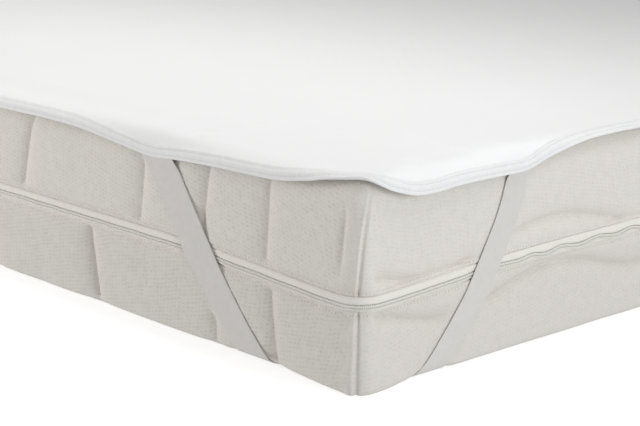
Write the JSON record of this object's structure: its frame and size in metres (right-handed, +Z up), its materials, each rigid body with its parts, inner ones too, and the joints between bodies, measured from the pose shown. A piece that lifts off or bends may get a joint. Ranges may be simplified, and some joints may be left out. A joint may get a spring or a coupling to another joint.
{
  "type": "mattress protector on a mattress",
  "caption": "Thin flat cloth protector with a bound hem and elastic corner straps, lying on a plain foam mattress with a zip round its sides; it rests flat on the floor or a bed base.",
  "frame": {"origin": "middle of the mattress's underside", "axes": "+X along the long sides, +Y across the mattress, +Z up; the corner nearest to the picture's camera is the one at +X and -Y"},
  "size_m": [2.0261, 0.923, 0.1429],
  "materials": {
    "ticking": "off-white knitted ticking with a small raised pattern, quilted in wavy lines, matt",
    "zip_tape": "cream woven zip tape, matt",
    "zip_chain": "fine closed zip coil, cream, satin",
    "protector_cloth": "cool white brushed cotton cloth, matt",
    "binding_tape": "white folded binding tape with stitch rows along its edges",
    "elastic_tape": "off-white ribbed woven elastic, matt"
  },
  "bodies": {
    "root": {"mattress": "ticking", "zip_tape_upper": "zip_tape", "zip_chain": "zip_chain", "zip_tape_lower": "zip_tape", "protector_sheet": "protector_cloth", "protector_binding": "binding_tape", "strap_front_right": "elastic_tape", "strap_back_right": "elastic_tape", "strap_back_left": "elastic_tape", "strap_front_left": "elastic_tape"}
  },
  "joints": []
}
